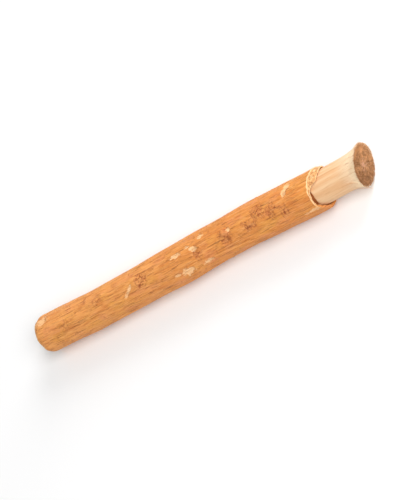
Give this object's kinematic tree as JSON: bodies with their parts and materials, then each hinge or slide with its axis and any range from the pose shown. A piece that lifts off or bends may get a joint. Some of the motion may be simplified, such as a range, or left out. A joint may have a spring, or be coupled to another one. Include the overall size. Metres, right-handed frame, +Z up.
{
  "type": "miswak stick",
  "caption": "Straight cut twig for cleaning teeth: rough bark sleeve, bare wood where the bark is peeled away, and a short flared brush of the wood's own fibres.",
  "frame": {"origin": "on the surface that the stick rests on, under the middle of its box", "axes": "+X runs along the stick towards the brush, +Y sideways and +Z up"},
  "size_m": [0.1497, 0.0154, 0.0146],
  "materials": {
    "bark": "dry, matt, orange-brown bark with pale flakes, brown scars and a pale cut edge",
    "wood": "dry, matt, cream fibrous wood, with brown cut fibre ends on the brush's face"
  },
  "bodies": {
    "root": {"bark": "bark", "wood": "wood"}
  },
  "joints": []
}
